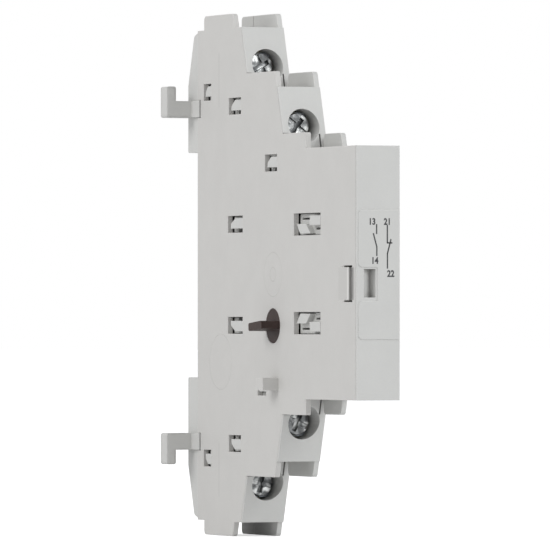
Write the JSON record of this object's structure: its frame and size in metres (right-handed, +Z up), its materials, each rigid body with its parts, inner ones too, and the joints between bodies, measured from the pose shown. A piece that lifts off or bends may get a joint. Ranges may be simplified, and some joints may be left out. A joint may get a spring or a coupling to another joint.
{
  "type": "auxiliary contact block",
  "caption": "Slim side-mounted auxiliary contact block with catch hooks, a switching shaft with a flat blade, and screw terminals on stepped slanted faces.",
  "frame": {"origin": "centre of the mounting face, 45 mm behind the front and at mid height", "axes": "-Y out of the front, +Z up, +X from the mounting face to the far side"},
  "size_m": [0.0136, 0.0765, 0.0962],
  "materials": {
    "grey_plastic": "finely textured moulded",
    "brown_plastic": "smooth moulded",
    "cream_plastic": "smooth moulded",
    "zinc_plated_steel": "bright zinc plated",
    "brass_sheet": "stamped sheet",
    "copper_alloy": "stamped sheet",
    "silver_alloy": "bright",
    "spring_steel": "drawn wire"
  },
  "bodies": {
    "housing": {"mounting_shell": "grey_plastic", "outer_shell": "grey_plastic", "no_contact_plate_upper": "brass_sheet", "no_fixed_tip_upper": "silver_alloy", "no_contact_plate_lower": "brass_sheet", "no_fixed_tip_lower": "silver_alloy", "nc_contact_plate_upper": "brass_sheet", "nc_fixed_tip_upper": "silver_alloy", "nc_contact_plate_lower": "brass_sheet", "nc_fixed_tip_lower": "silver_alloy", "carrier_return_spring": "spring_steel"},
    "switching_shaft": {"switching_shaft": "brown_plastic"},
    "carrier": {"contact_carrier": "cream_plastic", "make_contact_spring": "spring_steel", "break_contact_spring": "spring_steel"},
    "make_bridge": {"make_bridge": "copper_alloy", "make_bridge_tip_upper": "silver_alloy", "make_bridge_tip_lower": "silver_alloy"},
    "break_bridge": {"break_bridge": "copper_alloy", "break_bridge_tip_upper": "silver_alloy", "break_bridge_tip_lower": "silver_alloy"},
    "clamp_no_upper": {"clamp_washer_no_upper": "zinc_plated_steel"},
    "screw_no_upper": {"terminal_screw_no_upper": "zinc_plated_steel"},
    "clamp_no_lower": {"clamp_washer_no_lower": "zinc_plated_steel"},
    "screw_no_lower": {"terminal_screw_no_lower": "zinc_plated_steel"},
    "clamp_nc_upper": {"clamp_washer_nc_upper": "zinc_plated_steel"},
    "screw_nc_upper": {"terminal_screw_nc_upper": "zinc_plated_steel"},
    "clamp_nc_lower": {"clamp_washer_nc_lower": "zinc_plated_steel"},
    "screw_nc_lower": {"terminal_screw_nc_lower": "zinc_plated_steel"}
  },
  "joints": [
    {"name": "shaft_turn", "type": "hinge", "parent": "housing", "child": "switching_shaft", "pos_m": [0, -0.00854, -0.0094], "axis": [-1, 0, 0], "range_deg": [0, 40]},
    {"name": "carrier_slide", "type": "slide", "parent": "housing", "child": "carrier", "axis": [0, 1, 0], "range_m": [0, 0.00308], "stiffness_N_per_m": 100, "springref_m": -0.002, "deforming": ["carrier_return_spring"]},
    {"name": "make_bridge_slide", "type": "slide", "parent": "carrier", "child": "make_bridge", "axis": [0, -1, 0], "range_m": [0, 0.00071], "deforming": ["make_contact_spring"]},
    {"name": "break_bridge_slide", "type": "slide", "parent": "carrier", "child": "break_bridge", "axis": [0, -1, 0], "range_m": [0, 0.00071], "deforming": ["break_contact_spring"]},
    {"name": "clamp_no_upper_slide", "type": "slide", "parent": "housing", "child": "clamp_no_upper", "axis": [0, 1, 0], "range_m": [0, 0.002]},
    {"name": "screw_no_upper_turn", "type": "hinge", "parent": "clamp_no_upper", "child": "screw_no_upper", "pos_m": [0.00425, -0.00984, 0.02692], "axis": [0, 1, 0], "range_deg": [0, 1441]},
    {"name": "clamp_no_lower_slide", "type": "slide", "parent": "housing", "child": "clamp_no_lower", "axis": [0, 1, 0], "range_m": [0, 0.002]},
    {"name": "screw_no_lower_turn", "type": "hinge", "parent": "clamp_no_lower", "child": "screw_no_lower", "pos_m": [0.00425, -0.00984, -0.02692], "axis": [0, 1, 0], "range_deg": [0, 1441]},
    {"name": "clamp_nc_upper_slide", "type": "slide", "parent": "housing", "child": "clamp_nc_upper", "axis": [0, 1, 0], "range_m": [0, 0.002]},
    {"name": "screw_nc_upper_turn", "type": "hinge", "parent": "clamp_nc_upper", "child": "screw_nc_upper", "pos_m": [0.00425, 0.00636, 0.03837], "axis": [0, 1, 0], "range_deg": [0, 1441]},
    {"name": "clamp_nc_lower_slide", "type": "slide", "parent": "housing", "child": "clamp_nc_lower", "axis": [0, 1, 0], "range_m": [0, 0.002]},
    {"name": "screw_nc_lower_turn", "type": "hinge", "parent": "clamp_nc_lower", "child": "screw_nc_lower", "pos_m": [0.00425, 0.00636, -0.03837], "axis": [0, 1, 0], "range_deg": [0, 1441]}
  ],
  "couplings": [
    {"joint": "shaft_turn", "follows": "carrier_slide", "rad_per_m": 226.8},
    {"joint": "make_bridge_slide", "follows": "carrier_slide", "ratio": 0.22741},
    {"joint": "break_bridge_slide", "follows": "carrier_slide", "ratio": 0.22741},
    {"joint": "screw_no_upper_turn", "follows": "clamp_no_upper_slide", "rad_per_m": 12566},
    {"joint": "screw_no_lower_turn", "follows": "clamp_no_lower_slide", "rad_per_m": 12566},
    {"joint": "screw_nc_upper_turn", "follows": "clamp_nc_upper_slide", "rad_per_m": 12566},
    {"joint": "screw_nc_lower_turn", "follows": "clamp_nc_lower_slide", "rad_per_m": 12566}
  ]
}
